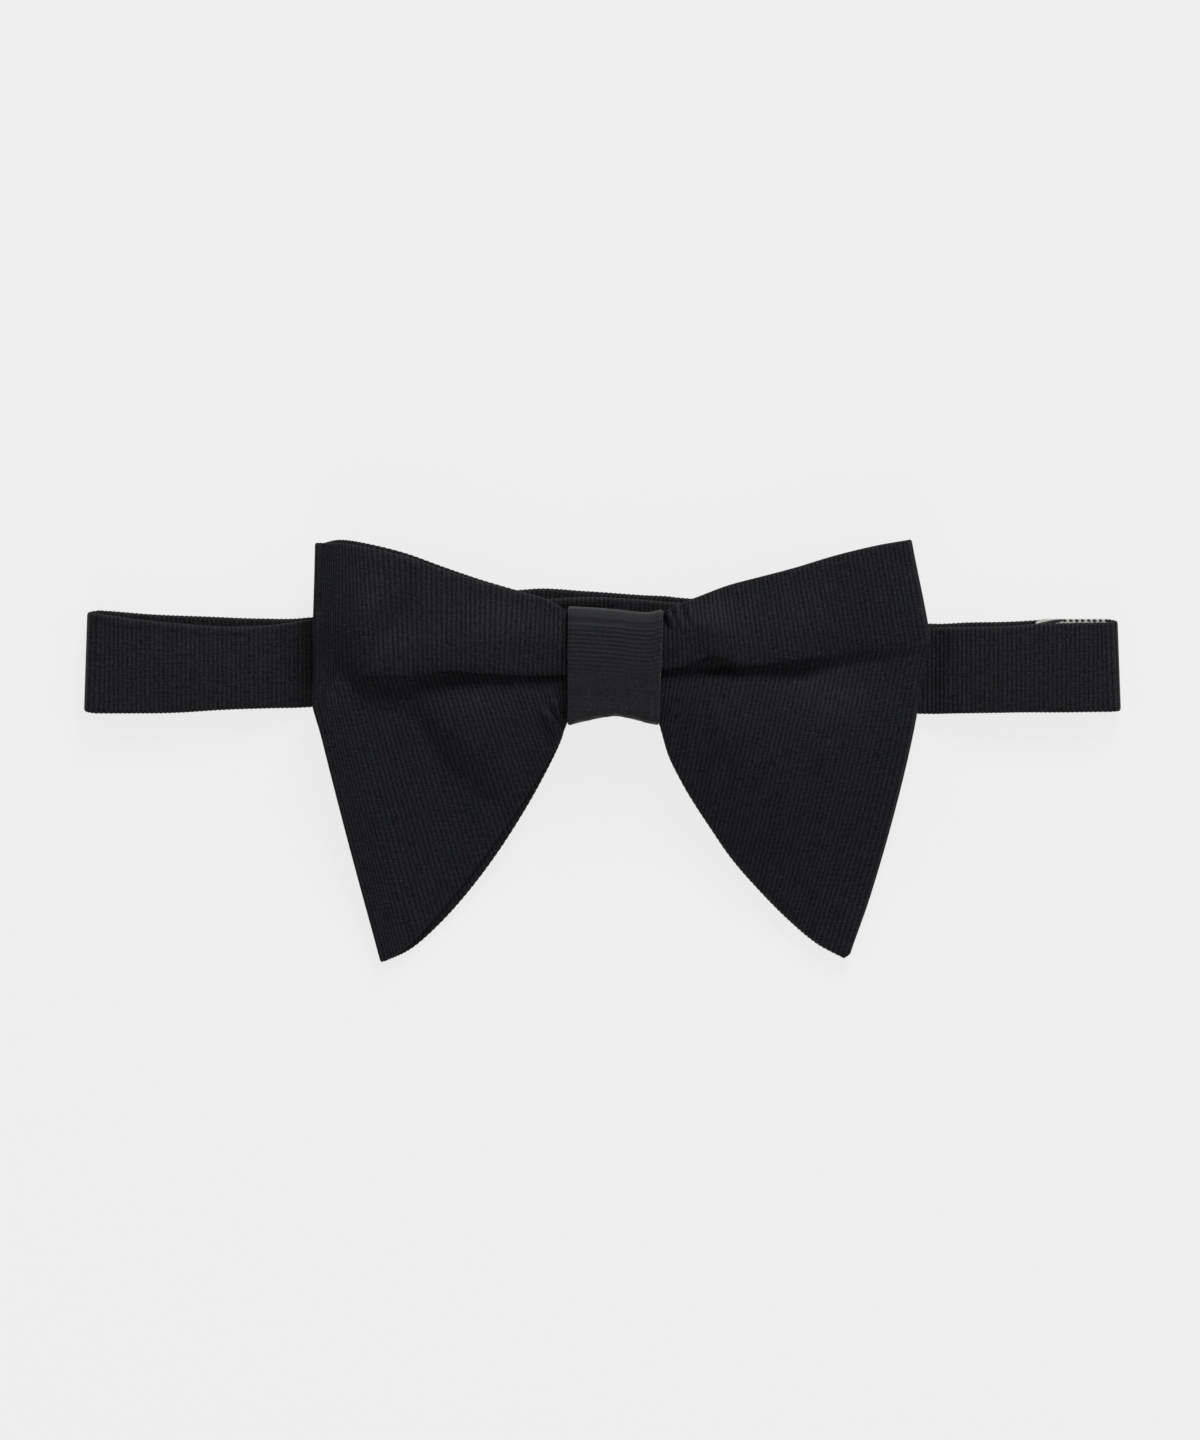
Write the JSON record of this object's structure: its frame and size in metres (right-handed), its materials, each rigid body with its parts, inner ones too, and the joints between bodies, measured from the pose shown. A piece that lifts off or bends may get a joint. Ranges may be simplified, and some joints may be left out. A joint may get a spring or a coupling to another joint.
{
  "type": "butterfly bow tie",
  "caption": "Ready-tied butterfly bow tie of ribbed cloth, with pleated wings, a wrapped knot and a neck band that lies flattened as a loop.",
  "frame": {"origin": "on the surface that the bow tie lies on, under the middle of the knot, on the flat underside of the neck band's back run", "axes": "+X to the right along the neck band as seen from the front, +Y towards the top edge of the bow, +Z out of the front of the bow, towards the viewer"},
  "size_m": [0.2021, 0.0824, 0.0135],
  "materials": {
    "ribbed_cloth": "black ribbed cloth with a soft dull sheen",
    "knot_cloth": "black ribbed cloth with a soft dull sheen, ribs across the knot",
    "label_tape": "off-white woven tape, overcast along its edge with black thread",
    "clasp_metal": "black satin lacquer"
  },
  "bodies": {
    "root": {"bow": "ribbed_cloth", "knot": "knot_cloth", "neck_band": "ribbed_cloth", "band_clasp": "clasp_metal", "size_label": "label_tape"}
  },
  "joints": []
}
